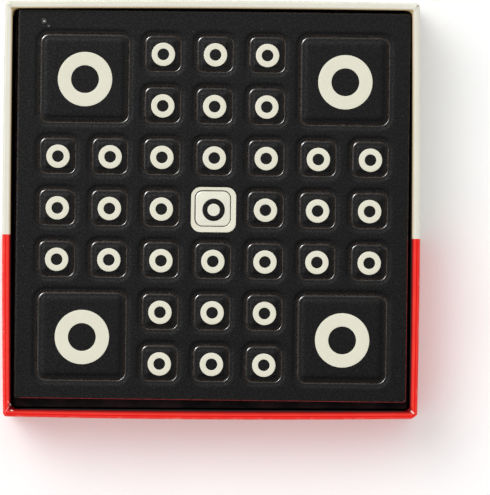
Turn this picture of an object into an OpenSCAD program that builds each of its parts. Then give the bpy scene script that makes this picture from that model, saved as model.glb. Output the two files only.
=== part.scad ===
/* [Box] */
// Outside width of the box, left to right
box_x = 150; // [148:0.5:200]
// Outside depth of the box, front to back
box_y = 150.5; // [149:0.5:200]
// Height of the box to the top of its rim
box_h = 25; // [24:0.5:40]
// Thickness of the chipboard that the tray is made of
tray_t = 2.5; // [2:0.1:3]
// Thickness of the printed wrap and of the black lining paper
paper_t = 0.25; // [0.2:0.05:0.3]
// Radius of the box's outside corners
box_corner_r = 1.3; // [1:0.1:2]
// Radius of the corners inside the lining
lining_corner_r = 1.8; // [1.5:0.1:3]
// Depth of the wrap turned in over the rim
turn_in = 14; // [8:1:16]
// Width of the wrap turned under the base
turn_under = 16; // [10:1:20]
// Distance that the lining stops short of the top of the rim
lining_drop = 1.2; // [0.8:0.1:2]
// How far the line between the cream and the red wrap lies in front of the middle
colour_line = 9.6; // [0:0.1:20]
// How far that line is turned off square, in degrees
colour_turn = -0.29; // [-0.5:0.01:0.5]
// Length of each leg of the stay tapes around the tray's corners
stay_leg = 10; // [6:1:15]
// Thickness of the stay tape
stay_t = 0.15; // [0.1:0.05:0.2]

/* [Board] */
// Width of the playing board
board_x = 140.8; // [140.4:0.1:141]
// Depth of the playing board
board_y = 139.7; // [139:0.1:140]
// Radius of the playing board's corners
board_corner_r = 1.2; // [1:0.1:2]
// Thickness of the die-cut face layer, which is also the thickness of a tile
face_t = 2.5; // [2:0.1:3]
// Thickness of the backing layer under the wells
backing_t = 2; // [1.5:0.1:3]
// Width of the edge that the die rolls over on the face and on the tiles
edge_roll = 0.5; // [0.3:0.05:0.6]
// Depth of the board's face below the rim
face_drop = 2.5; // [1.5:0.1:4]
// How far the board lies to the right of the middle of the box
board_shift_x = 0.35; // [-0.5:0.05:0.5]
// How far the board lies behind the middle of the box
board_shift_y = 1.45; // [-1.5:0.05:1.5]
// How far the board is turned in the box, in degrees
board_turn = -0.37; // [-0.4:0.01:0.4]
// Thickness of the card that the riser is folded from
riser_t = 1.5; // [1:0.1:2]
// Room between the riser and the lining on each side
riser_gap = 0.5; // [0.3:0.1:1]
// Play between the top of the riser and the board that lies on it
rest_play = 0.02; // [0.02:0.01:0.1]

/* [Places and tiles] */
// Distance from one place to the next, left to right
pitch_x = 18.7; // [18.65:0.01:18.75]
// Distance from one place to the next, front to back
pitch_y = 18.52; // [18.5:0.01:18.6]
// How far the middle of the places lies to the right of the board's middle
places_shift_x = 0.15; // [-0.5:0.05:0.5]
// How far the middle of the places lies behind the board's middle
places_shift_y = -0.95; // [-1:0.05:1]
// Side of a small well
well = 13; // [12.6:0.1:13.2]
// Radius of a small well's corners
well_corner_r = 2.8; // [1.5:0.05:3.5]
// Radius of a large well's corners
large_corner_r = 3.3; // [2:0.1:4]
// How much wider a large well is than two small wells with the land between them
large_wider = 0.3; // [0:0.1:0.6]
// Gap between a tile and its well on each side
tile_gap = 0.25; // [0.15:0.05:0.35]
// Outside diameter of the ring printed on a small tile
ring_d = 8.35; // [7:0.05:9]
// Inside diameter of the ring printed on a small tile
ring_hole_d = 4.2; // [3:0.05:5]
// Outside diameter of the ring printed on a large tile
large_ring_d = 19.5; // [16:0.1:24]
// Inside diameter of the ring printed on a large tile
large_ring_hole_d = 10; // [6:0.1:14]
// Outside diameter of the ring printed on the centre tile
centre_ring_d = 8.1; // [7:0.05:9]
// Inside diameter of the ring printed on the centre tile
centre_ring_hole_d = 4.4; // [3:0.05:5]
// Thickness of the printed ink film
ink_t = 0.05; // [0.03:0.01:0.1]
// How far the print lies to the right of the cuts
print_shift_x = 0.27; // [-0.4:0.01:0.4]
// How far the print lies in front of the cuts
print_shift_y = 0.43; // [-0.5:0.01:0.5]

/* [Hidden] */
$fn = 48;
// Room added to a cutter where it passes out of the solid
over = 1;
// Straight steps in a rolled edge
roll_steps = 3;

wall_t = tray_t + 2 * paper_t;
rim_in_x = box_x - 2 * wall_t;
rim_in_y = box_y - 2 * wall_t;
tray_x = box_x - 2 * paper_t;
tray_y = box_y - 2 * paper_t;
tray_corner_r = box_corner_r - paper_t;
cavity_x = tray_x - 2 * tray_t;
cavity_y = tray_y - 2 * tray_t;
cavity_corner_r = lining_corner_r + 2 * paper_t;
lined_x = rim_in_x - 2 * paper_t;
lined_y = rim_in_y - 2 * paper_t;
tray_top = box_h - paper_t;
tray_floor_top = paper_t + tray_t;
floor_top = tray_floor_top + paper_t;
lining_top = box_h - lining_drop;
turn_in_bottom = box_h - turn_in;

face_top = box_h - face_drop;
well_floor = face_top - face_t;
backing_bottom = well_floor - backing_t;
board_bottom = backing_bottom - paper_t;
riser_top = board_bottom - rest_play;

small_tile = well - 2 * tile_gap;
tile_corner_r = well_corner_r - tile_gap;
large_well_x = pitch_x + well + large_wider;
large_well_y = pitch_y + well + large_wider;

// Small places, as [row, column] counted from the back left. They make a cross of three rows by three.
COUNT = 7;
MIDDLE = (COUNT + 1) / 2;
SMALL = [for (row = [1:COUNT], col = [1:COUNT])
    if (abs(row - MIDDLE) <= 1 || abs(col - MIDDLE) <= 1) [row, col]];
// Large places, as [name, side, depth]: each takes up the four cells left free in one corner.
LARGE = [["back_left", -1, 1], ["back_right", 1, 1], ["front_left", -1, -1], ["front_right", 1, -1]];
LARGE_CELL = 2.5;

function is_centre(place) = place == [MIDDLE, MIDDLE];
function small_name(place) = is_centre(place) ? "centre_tile"
    : str("tile_row", place[0], "_col", place[1]);
function large_name(place) = str("large_tile_", place[0]);
function small_at(place) = [(place[1] - MIDDLE) * pitch_x, (MIDDLE - place[0]) * pitch_y];
function large_at(place) = [place[1] * LARGE_CELL * pitch_x, place[2] * LARGE_CELL * pitch_y];

FIXED = ["box_tray", "corner_stays", "wrap_cream", "wrap_red", "base_sheet", "wall_lining",
    "floor_lining", "board_riser", "board_face", "board_backing", "board_back_paper"];

// A rectangle with round corners, centred on the origin.
module rounded_square(x, y, r) {
    square([x - 2 * r, y], center = true);
    square([x, y - 2 * r], center = true);
    for (sx = [-1, 1], sy = [-1, 1])
        translate([sx * (x / 2 - r), sy * (y / 2 - r)]) circle(r);
}

module rounded_block(x, y, r, from_z, to_z) {
    translate([0, 0, from_z]) linear_extrude(to_z - from_z) rounded_square(x, y, r);
}

// Half of a quarter-round edge, from the side face up to the top face.
// The direction is 1 where the edge rounds off a solid and -1 where it widens a hole.
function rolled(r, top, direction) = [for (i = [0:roll_steps])
    let (a = 90 * i / roll_steps)
    direction > 0
        ? [r - edge_roll + edge_roll * cos(a), top - edge_roll + edge_roll * sin(a)]
        : [r + edge_roll - edge_roll * cos(a), top - edge_roll + edge_roll * sin(a)]];

// A rounded rectangle swept from its edge profile: straight sides, turned corners and a core.
// The profile runs from the corner's axis at 0 out to the side face.
module edge_swept(x, y, r, profile, from_z, to_z) {
    side_x = x - 2 * r;
    side_y = y - 2 * r;
    translate([-side_x / 2, -side_y / 2, from_z]) cube([side_x, side_y, to_z - from_z]);
    for (turn = [0, 180]) rotate(turn) {
        translate([side_x / 2, side_y / 2, 0]) rotate([90, 0, 0])
            linear_extrude(side_y) polygon(profile);
        translate([-side_x / 2, side_y / 2, 0]) rotate([90, 0, 90])
            linear_extrude(side_x) polygon(profile);
        translate([side_x / 2, side_y / 2, 0]) rotate_extrude(angle = 90) polygon(profile);
        translate([-side_x / 2, side_y / 2, 0]) rotate(90) rotate_extrude(angle = 90) polygon(profile);
    }
}

// A plate whose top edge is rolled over.
module rolled_plate(x, y, r, from_z, to_z) {
    profile = concat([[0, from_z], [r, from_z]], rolled(r, to_z, 1), [[0, to_z]]);
    edge_swept(x, y, r, profile, from_z, to_z);
}

// The cutter for a well through the face layer, whose mouth is rolled over.
module well_cutter(x, y, r) {
    mouth = [[r + edge_roll, face_top + over], [0, face_top + over]];
    profile = concat([[0, well_floor - over], [r, well_floor - over]], rolled(r, face_top, -1), mouth);
    edge_swept(x, y, r, profile, well_floor - over, face_top + over);
}

// Everything on the board lies where the board was dropped into the box.
module on_board() {
    translate([board_shift_x, board_shift_y, 0]) rotate(board_turn) children();
}

module at_place(at) {
    translate([places_shift_x + at[0], places_shift_y + at[1], 0]) children();
}

module stay_outline() {
    difference() {
        rounded_square(tray_x, tray_y, tray_corner_r);
        rounded_square(tray_x - 2 * stay_t, tray_y - 2 * stay_t, tray_corner_r - stay_t);
        square([tray_x - 2 * stay_leg, tray_y + over], center = true);
        square([tray_x + over, tray_y - 2 * stay_leg], center = true);
    }
}

// Scored chipboard tray: the floor and four walls, with the stay tapes pressed flush into its corners.
module box_tray() {
    color("burlywood") difference() {
        rounded_block(tray_x, tray_y, tray_corner_r, paper_t, tray_top);
        rounded_block(cavity_x, cavity_y, cavity_corner_r, tray_floor_top, tray_top + over);
        translate([0, 0, paper_t - over]) linear_extrude(box_h + over) stay_outline();
    }
}

// Kraft paper tapes that hold the tray's four corners together.
module corner_stays() {
    color("peru") translate([0, 0, paper_t]) linear_extrude(tray_top - paper_t) stay_outline();
}

// Printed paper around the walls, over the rim, down inside and a little way under the base.
module wrap() {
    difference() {
        rounded_block(box_x, box_y, box_corner_r, 0, box_h);
        difference() {
            rounded_block(tray_x, tray_y, tray_corner_r, paper_t, tray_top);
            rounded_block(cavity_x, cavity_y, cavity_corner_r, turn_in_bottom, box_h);
        }
        rounded_block(rim_in_x, rim_in_y, cavity_corner_r - paper_t, turn_in_bottom - over, box_h + over);
        translate([0, 0, -over]) linear_extrude(over + 2 * paper_t)
            square([box_x - 2 * turn_under, box_y - 2 * turn_under], center = true);
    }
}

// The half plane behind the colour line, or in front of it.
module behind_line(side) {
    translate([0, -colour_line, -over]) rotate(colour_turn) translate([-box_x, side > 0 ? 0 : -2 * box_y, 0])
        cube([2 * box_x, 2 * box_y, box_h + 2 * over]);
}

module wrap_cream() {
    color("ivory") intersection() {
        wrap();
        behind_line(1);
    }
}

module wrap_red() {
    color("red") intersection() {
        wrap();
        behind_line(-1);
    }
}

// Black sheet pasted over the middle of the underside, flush with the turned-under wrap.
module base_sheet() {
    color("dimgray") translate([0, 0, paper_t / 2])
        cube([box_x - 2 * turn_under, box_y - 2 * turn_under, paper_t], center = true);
}

// Black paper around the inside of the walls.
module wall_lining() {
    color("black") difference() {
        rounded_block(rim_in_x, rim_in_y, cavity_corner_r - paper_t, tray_floor_top, lining_top);
        rounded_block(lined_x, lined_y, lining_corner_r, tray_floor_top - over, lining_top + over);
    }
}

// Black paper on the floor of the box.
module floor_lining() {
    color("dimgray") rounded_block(lined_x, lined_y, lining_corner_r, tray_floor_top, floor_top);
}

// Platform folded from black card, open underneath, that holds the board up near the rim.
module board_riser() {
    riser_x = lined_x - 2 * riser_gap;
    riser_y = lined_y - 2 * riser_gap;
    color("dimgray") difference() {
        rounded_block(riser_x, riser_y, lining_corner_r, floor_top, riser_top);
        translate([0, 0, floor_top - over]) linear_extrude(riser_top - riser_t - floor_top + over)
            square([riser_x - 2 * riser_t, riser_y - 2 * riser_t], center = true);
    }
}

// Black laminated face layer of the board, with 33 small wells and 4 large ones cut through it.
module board_face() {
    color("black") on_board() difference() {
        rolled_plate(board_x, board_y, board_corner_r, well_floor, face_top);
        for (place = SMALL) at_place(small_at(place)) well_cutter(well, well, well_corner_r);
        for (place = LARGE) at_place(large_at(place))
            well_cutter(large_well_x, large_well_y, large_corner_r);
    }
}

// Greyboard backing that closes the wells.
module board_backing() {
    color("gray") on_board() rounded_block(board_x, board_y, board_corner_r, backing_bottom, well_floor);
}

// Black paper on the back of the board.
module board_back_paper() {
    color("dimgray") on_board() rounded_block(board_x, board_y, board_corner_r, board_bottom, backing_bottom);
}

// A tile punched out of the face layer, with its printed ring.
module tile(x, y, r, ring, hole, body_colour, ring_colour) {
    color(body_colour) rolled_plate(x, y, r, well_floor, face_top);
    color(ring_colour) translate([print_shift_x, -print_shift_y, face_top - ink_t]) difference() {
        cylinder(d = ring, h = 2 * ink_t);
        translate([0, 0, -over]) cylinder(d = hole, h = 2 * ink_t + 2 * over);
    }
}

module small_tile(place) {
    on_board() at_place(small_at(place))
        tile(small_tile, small_tile, tile_corner_r, ring_d, ring_hole_d, "black", "ivory");
}

module centre_tile(place) {
    on_board() at_place(small_at(place))
        tile(small_tile, small_tile, tile_corner_r, centre_ring_d, centre_ring_hole_d, "ivory", "black");
}

module large_tile(place) {
    on_board() at_place(large_at(place))
        tile(large_well_x - 2 * tile_gap, large_well_y - 2 * tile_gap, large_corner_r - tile_gap,
            large_ring_d, large_ring_hole_d, "black", "ivory");
}

box_tray();
corner_stays();
wrap_cream();
wrap_red();
base_sheet();
wall_lining();
floor_lining();
board_riser();
board_face();
board_backing();
board_back_paper();
for (place = SMALL) {
    union() {
        if (is_centre(place)) centre_tile(place);
        else small_tile(place);
    }
}
for (place = LARGE) {
    large_tile(place);
}
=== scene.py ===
import math
import random

import bmesh
import bpy
from mathutils import Matrix, Vector, noise


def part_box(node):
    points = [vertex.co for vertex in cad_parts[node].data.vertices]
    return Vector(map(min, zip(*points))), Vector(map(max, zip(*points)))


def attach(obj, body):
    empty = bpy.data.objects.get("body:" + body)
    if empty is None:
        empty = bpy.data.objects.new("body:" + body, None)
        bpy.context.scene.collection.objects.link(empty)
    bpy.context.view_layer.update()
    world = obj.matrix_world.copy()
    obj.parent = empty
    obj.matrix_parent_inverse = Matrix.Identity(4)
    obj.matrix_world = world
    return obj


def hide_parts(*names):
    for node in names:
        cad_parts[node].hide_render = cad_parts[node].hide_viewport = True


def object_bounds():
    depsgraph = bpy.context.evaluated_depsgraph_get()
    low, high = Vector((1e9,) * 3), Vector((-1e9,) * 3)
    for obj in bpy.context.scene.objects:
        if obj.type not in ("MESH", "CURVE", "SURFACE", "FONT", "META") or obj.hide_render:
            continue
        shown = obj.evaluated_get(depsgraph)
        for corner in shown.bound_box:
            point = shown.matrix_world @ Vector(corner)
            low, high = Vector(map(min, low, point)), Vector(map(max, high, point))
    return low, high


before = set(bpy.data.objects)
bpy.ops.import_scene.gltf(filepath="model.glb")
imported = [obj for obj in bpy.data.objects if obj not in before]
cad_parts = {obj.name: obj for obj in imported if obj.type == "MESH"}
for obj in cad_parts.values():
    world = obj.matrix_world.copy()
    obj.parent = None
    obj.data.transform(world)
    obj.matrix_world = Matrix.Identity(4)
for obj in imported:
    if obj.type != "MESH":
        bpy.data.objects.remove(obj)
cad_low, cad_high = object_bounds()
MM = 0.001


# ------------------------------------------------------------------------------------------------
# Tray. Grey-brown chipboard scored along the edges of its floor and folded up into four walls. As
# the wrap's glue dries it draws the corners in, so each wall bows out a little in the middle. The
# box has since been dropped on its front right corner.
# ------------------------------------------------------------------------------------------------
BOX_X = (cad_high.x - cad_low.x) / MM
BOX_Y = (cad_high.y - cad_low.y) / MM
BOX_TOP = cad_high.z / MM
PAPER_T = 0.25
CHIPBOARD_T = 2.5
WALL_T = CHIPBOARD_T + 2 * PAPER_T
OUTER_BOW = 0.7
INNER_BOW = 0.4
BOX_CORNER = 1.3
RIM_CORNER = 0.5
LINED_CORNER = 1.95
FOLD_ROOM = 0.3
TRAY_TOP = BOX_TOP - PAPER_T - FOLD_ROOM
WALL_STEPS = 88
WALL_CORNER_STEPS = 8
CORNER_IN = 0.6
KNOCK_ALONG_FRONT = 2.3
KNOCK_ALONG_SIDE = 1.7
KNOCK_LOW = 8


def round_loop(half_x, half_y, radius, side, corner):
    """A rectangle with round corners, counter-clockwise from the middle of its front right corner.
    Each side has the same count of points, packed closer towards its ends."""
    straight = side - 2 * corner
    points = []
    for quarter in range(4):
        along, out = (half_y, half_x) if quarter % 2 == 0 else (half_x, half_y)
        end = along - radius
        line = []
        for i in range(corner):
            angle = math.radians(-45 + 45 * i / corner)
            line.append((out - radius + radius * math.cos(angle), -end + radius * math.sin(angle)))
        for i in range(straight + 1):
            s = 2 * i / straight - 1
            line.append((out, end * (1.5 * s - 0.5 * s ** 3)))
        for i in range(1, corner):
            angle = math.radians(45 * i / corner)
            line.append((out - radius + radius * math.cos(angle), end + radius * math.sin(angle)))
        for x, y in line:
            for _ in range(quarter):
                x, y = -y, x
            points.append((x, y))
    return points


def knocked_in(x, y, z):
    """Moves a point at the front right corner in to where the knock left it, most at the rim."""
    from_side, from_front = BOX_X / 2 - CORNER_IN - x, BOX_Y / 2 - CORNER_IN + y
    share = min(max((z - KNOCK_LOW) / (BOX_TOP - KNOCK_LOW), 0), 1)
    dent = share * max(1 - from_side / KNOCK_ALONG_FRONT - from_front / KNOCK_ALONG_SIDE, 0)
    dent /= KNOCK_ALONG_FRONT ** -2 + KNOCK_ALONG_SIDE ** -2
    return x - dent / KNOCK_ALONG_FRONT, y + dent / KNOCK_ALONG_SIDE


def wall_ring(inset, radius, z, bow=None):
    """One loop round the box's walls, a given way in from their outside and bowed as they are."""
    if bow is None:
        bow = OUTER_BOW + (INNER_BOW - OUTER_BOW) * min(inset, WALL_T) / WALL_T
    ring = []
    for x, y in round_loop(BOX_X / 2 - inset, BOX_Y / 2 - inset, radius, WALL_STEPS, WALL_CORNER_STEPS):
        across, deep = 2 * x / BOX_X, 2 * y / BOX_Y
        x, y = knocked_in(x - bow * across * deep ** 2, y - bow * deep * across ** 2, z)
        ring.append((x, y, z))
    return ring


def add_rings(bm, rings, closed=False, capped=False):
    """Skins a stack of loops, given in millimetres, that all have the same count of points."""
    made = [[bm.verts.new(Vector(p) * MM) for p in ring] for ring in rings]
    for lower, upper in zip(made, made[1:] + made[:1] if closed else made[1:]):
        for i in range(len(lower)):
            j = (i + 1) % len(lower)
            bm.faces.new((lower[i], lower[j], upper[j], upper[i]))
    for ring in (made[0][::-1], made[-1]) if capped else ():
        centre = bm.verts.new(sum((v.co for v in ring), Vector()) / len(ring))
        for i, vert in enumerate(ring):
            bm.faces.new((vert, ring[(i + 1) % len(ring)], centre))
    return made


def finish_mesh(name, bm, material, smooth_under=40):
    """Makes the piece's object, smooth except across folds sharper than the given angle."""
    bmesh.ops.recalc_face_normals(bm, faces=bm.faces)
    for face in bm.faces:
        face.smooth = True
    for edge in bm.edges:
        edge.smooth = edge.calc_face_angle(0) < math.radians(smooth_under)
    mesh = bpy.data.meshes.new(name)
    bm.to_mesh(mesh)
    bm.free()
    mesh.materials.append(material)
    piece = bpy.data.objects.new(name, mesh)
    bpy.context.scene.collection.objects.link(piece)
    return piece


def place(piece, body, slot, *replaced):
    """The piece rides on its body and stands for the CAD nodes, which it hides. The slot is not used."""
    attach(piece, body)
    if replaced:
        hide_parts(*replaced)


def add_node(tree, kind, inputs=None, **settings):
    """Adds a shader node. An input's value is a number, a colour or another node's socket."""
    made = tree.nodes.new(kind)
    for key, value in settings.items():
        setattr(made, key, value)
    for key, value in (inputs or {}).items():
        if isinstance(value, bpy.types.NodeSocket):
            tree.links.new(value, made.inputs[key])
        else:
            made.inputs[key].default_value = value
    return made


def maths(tree, operation, *values):
    return add_node(tree, "ShaderNodeMath", dict(enumerate(values)), operation=operation).outputs[0]


def weighted(tree, first, share, second):
    """A sum of two values, the first by its share and the second by the rest."""
    parts = [maths(tree, "MULTIPLY", value, part) for value, part in ((first, share), (second, 1 - share))]
    return maths(tree, "ADD", *parts)


def mixed(tree, factor, first, second):
    return add_node(tree, "ShaderNodeMix", {0: factor, 6: first, 7: second}, data_type="RGBA").outputs[2]


def spread(tree, value, low, high, to_low=0.0, to_high=1.0):
    """Maps a value from one range to another, smoothly and clamped at both ends."""
    ranges = {"Value": value, "From Min": low, "From Max": high, "To Min": to_low, "To Max": to_high}
    return add_node(tree, "ShaderNodeMapRange", ranges, interpolation_type="SMOOTHSTEP").outputs[0]


def grain(tree, size_mm, detail=4.0, roughness=0.55, stretch=None):
    """Noise in the piece's own space, with features of about the given size."""
    where = add_node(tree, "ShaderNodeTexCoord").outputs["Object"]
    if stretch:
        where = add_node(tree, "ShaderNodeMapping", {"Vector": where, "Scale": stretch}).outputs[0]
    texture = {"Vector": where, "Scale": 1 / (size_mm * MM), "Detail": detail, "Roughness": roughness}
    return add_node(tree, "ShaderNodeTexNoise", texture).outputs[0]


def shader_group(name, inputs, outputs):
    """A node group, with the sockets that it is given and the sockets that it puts out."""
    group = bpy.data.node_groups.new(name, "ShaderNodeTree")
    for socket, value in inputs.items():
        kind = "NodeSocketFloat" if isinstance(value, float) else "NodeSocketColor"
        group.interface.new_socket(name=socket, in_out="INPUT", socket_type=kind).default_value = value
    for socket, kind in outputs.items():
        group.interface.new_socket(name=socket, in_out="OUTPUT", socket_type=kind)
    return group, group.nodes.new("NodeGroupInput").outputs, group.nodes.new("NodeGroupOutput").inputs


def use_group(tree, group, inputs=None):
    """Places a node group in a material and gives back what it puts out."""
    placed = add_node(tree, "ShaderNodeGroup", node_tree=group)
    for key, value in (inputs or {}).items():
        if isinstance(value, bpy.types.NodeSocket):
            tree.links.new(value, placed.inputs[key])
        else:
            placed.inputs[key].default_value = value
    return placed.outputs


def new_material(name, roughness):
    material = bpy.data.materials.new(name)
    material.use_nodes = True
    shader = material.node_tree.nodes["Principled BSDF"].inputs
    shader["Roughness"].default_value = roughness
    return material, material.node_tree, shader


def relief(tree, shader, height, depth_mm):
    bump = add_node(tree, "ShaderNodeBump", {"Height": height, "Distance": depth_mm * MM})
    tree.links.new(bump.outputs[0], shader["Normal"])


def build_pulp():
    """Recycled board pulp: blotches, fibres and darker flecks."""
    given = {"Light": (0.36, 0.31, 0.25, 1), "Dark": (0.22, 0.18, 0.14, 1), "Flecks": 0.5}
    put_out = {"Colour": "NodeSocketColor", "Height": "NodeSocketFloat"}
    group, given, result = shader_group("pulp", given, put_out)
    fibre = grain(group, 0.35, 6, 0.7, stretch=(1, 2.6, 1.4))
    tone = weighted(group, grain(group, 2.2, 5), 0.5, fibre)
    colour = mixed(group, spread(group, tone, 0.38, 0.62), given["Dark"], given["Light"])
    fleck = maths(group, "MULTIPLY", spread(group, grain(group, 0.5, 2), 0.66, 0.72), given["Flecks"])
    group.links.new(mixed(group, fleck, colour, (0.07, 0.055, 0.045, 1)), result["Colour"])
    group.links.new(fibre, result["Height"])
    return group


pulp = build_pulp()


def raw_board(name, light, dark, flecks, roughness, depth_mm):
    material, tree, shader = new_material(name, roughness)
    fibres = use_group(tree, pulp, {"Light": light, "Dark": dark, "Flecks": flecks})
    tree.links.new(fibres["Colour"], shader["Base Color"])
    relief(tree, shader, fibres["Height"], depth_mm)
    return material


SOFT_EDGE = 0.8

bm = bmesh.new()
add_rings(bm, [
    wall_ring(PAPER_T, BOX_CORNER - PAPER_T, PAPER_T),
    wall_ring(PAPER_T, BOX_CORNER - PAPER_T, TRAY_TOP - SOFT_EDGE),
    wall_ring(PAPER_T + 0.3 * SOFT_EDGE, BOX_CORNER - PAPER_T, TRAY_TOP - 0.3 * SOFT_EDGE),
    wall_ring(PAPER_T + SOFT_EDGE, BOX_CORNER - PAPER_T, TRAY_TOP),
    wall_ring(WALL_T - PAPER_T - 0.4, RIM_CORNER, TRAY_TOP),
    wall_ring(WALL_T - PAPER_T, RIM_CORNER + PAPER_T, TRAY_TOP - 0.5),
    wall_ring(WALL_T - PAPER_T, LINED_CORNER + PAPER_T, TRAY_TOP - 2),
    wall_ring(WALL_T - PAPER_T, LINED_CORNER + PAPER_T, PAPER_T + CHIPBOARD_T),
], capped=True)
chipboard = raw_board("chipboard", (0.46, 0.37, 0.27, 1), (0.33, 0.26, 0.18, 1), 0.5, 0.9, 0.08)
place(finish_mesh("tray", bm, chipboard), "box", "chipboard", "box_tray")


# ------------------------------------------------------------------------------------------------
# Corner stays. Strips of brown kraft tape, each folded round one corner of the tray from top to
# bottom to hold its walls together. They go on before the wrap does.
# ------------------------------------------------------------------------------------------------
STAY_T = 0.15
STAY_PROUD = 0.02
STAY_LOW = PAPER_T
STAY_HIGH = TRAY_TOP - SOFT_EDGE
STAY_REACH = WALL_CORNER_STEPS + 10

bm = bmesh.new()
tape_lines = [wall_ring(PAPER_T - STAY_PROUD, BOX_CORNER - PAPER_T, z) for z in (STAY_LOW, STAY_HIGH)]
tape_lines += [wall_ring(PAPER_T + STAY_T, BOX_CORNER - PAPER_T, z) for z in (STAY_HIGH, STAY_LOW)]
for corner in range(4):
    places = [corner * WALL_STEPS + step for step in range(-STAY_REACH, STAY_REACH + 1)]
    add_rings(bm, [[line[spot % len(line)] for line in tape_lines] for spot in places], capped=True)
kraft = raw_board("kraft_tape", (0.55, 0.38, 0.22, 1), (0.43, 0.28, 0.15, 1), 0.3, 0.7, 0.03)
place(finish_mesh("stay_tapes", bm, kraft), "box", "stay_tape", "corner_stays")


# ------------------------------------------------------------------------------------------------
# Wrap. Printed paper with a thin film, cream behind the colour line and red in front of it. It is
# glued round the walls, turned under the base, and brought over the rim and down inside, where its
# flaps overlap in a mitre at each corner and the print has cracked a little. Glints of the lamp are
# painted at the front corners; shade is painted on the paper inside the rim, in a band along the
# outer fold and in the back corners; and where the print is gone from the outer fold, that also
# stands for a painted reflection of the table.
# ------------------------------------------------------------------------------------------------
COLOUR_LINE = -9.6
COLOUR_TURN = math.radians(-0.29)
HEM_IN = 16
TURN_IN_LOW = 11
LINING_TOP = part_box("wall_lining")[1].z / MM
RIM_TOP = BOX_TOP - FOLD_ROOM
OUTER_ROLL = 1.0
INNER_ROLL = 0.5
RIM_CROWN = 0.06
SHADE_BAND_IN = 1.2
INSIDE_FROM = 2.1
FRONT_INSIDE_FROM = 1.6
ROLL_STEPS = 6
LUMP_LIFT = 0.24
FLAP_LIFT = 0.14
SEAM_SINK = 0.16
RIPPLE = 0.03
RIPPLE_LONG = 9


def wrap_path():
    """The paper's outer face, as (way in, height): under the base, up, over the rim and down."""
    path = [(HEM_IN, 0), (HEM_IN / 2, 0), (1.5, 0), (0.5, 0), (0.15, 0.15), (0, 0.5)]
    path += [(0, 4), (0, 9), (0, 14), (0, 19), (0, 22.5)]
    for i in range(ROLL_STEPS + 1):
        turn = math.radians(90 * i / ROLL_STEPS)
        way = OUTER_ROLL * (1 - math.cos(turn))
        path.append((way, RIM_TOP - OUTER_ROLL * (1 - math.sin(turn))))
    for share in (0.08, 0.16, 0.25, 0.4, 0.55, 0.7, 0.85):
        way = OUTER_ROLL + (WALL_T - INNER_ROLL - OUTER_ROLL) * share
        path.append((way, RIM_TOP + RIM_CROWN * 4 * share * (1 - share)))
    for i in range(ROLL_STEPS + 1):
        turn = math.radians(90 * i / ROLL_STEPS)
        way = WALL_T - INNER_ROLL * (1 - math.sin(turn))
        path.append((way, RIM_TOP - INNER_ROLL * (1 - math.cos(turn))))
    return path + [(WALL_T, LINING_TOP), (WALL_T, LINING_TOP - 1), (WALL_T, 18), (WALL_T, TURN_IN_LOW)]


def paper_back(path):
    """The same path moved back by the paper's thickness."""
    back = []
    for i, (way, height) in enumerate(path):
        before, after = path[max(i - 1, 0)], path[min(i + 1, len(path) - 1)]
        along = Vector((after[0] - before[0], after[1] - before[1])).normalized()
        back.append((way + PAPER_T * along.y, height - PAPER_T * along.x))
    return back


def wrap_corner(way, height):
    """The corner's radius in plan: tight at the rim, rounder outside and down in the lining."""
    if height < 1 and way > 0.5:
        return RIM_CORNER
    if way < OUTER_ROLL:
        return BOX_CORNER - 0.3 * way
    if way < WALL_T - 0.1:
        return RIM_CORNER + (1.0 - RIM_CORNER) * (WALL_T - way) / (WALL_T - OUTER_ROLL)
    depth = min(max((RIM_TOP - INNER_ROLL - height) / (RIM_TOP - INNER_ROLL - LINING_TOP), 0), 1)
    return RIM_CORNER + (LINED_CORNER - RIM_CORNER) * depth


def mitre_lift(x, y, z):
    """How far the folded flaps raise the paper: a lump near each corner and a step on the mitre."""
    from_side, from_end = BOX_X / 2 - CORNER_IN - abs(x), BOX_Y / 2 - CORNER_IN - abs(y)
    if z < RIM_TOP - OUTER_ROLL or max(from_side, from_end) > 8:
        return 0
    lump = LUMP_LIFT * math.exp(-((from_side - 1.5) ** 2 + (from_end - 1.5) ** 2) / 0.3)
    over = 1 / (1 + math.exp(-(from_side - from_end) * 14))
    flap = FLAP_LIFT * over * math.exp(-max(from_side - 1, 0) / 2)
    seam = SEAM_SINK * math.exp(-((from_side - from_end + 0.15) / 0.16) ** 2) * (from_side > 1.2)
    return lump + flap - seam


def rim_ripple(x, y, z):
    """Slow unevenness of the glued paper along the rim."""
    if z < RIM_TOP - OUTER_ROLL:
        return 0
    return RIPPLE * noise.noise(Vector((x, y, 0)) / RIPPLE_LONG)


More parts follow.
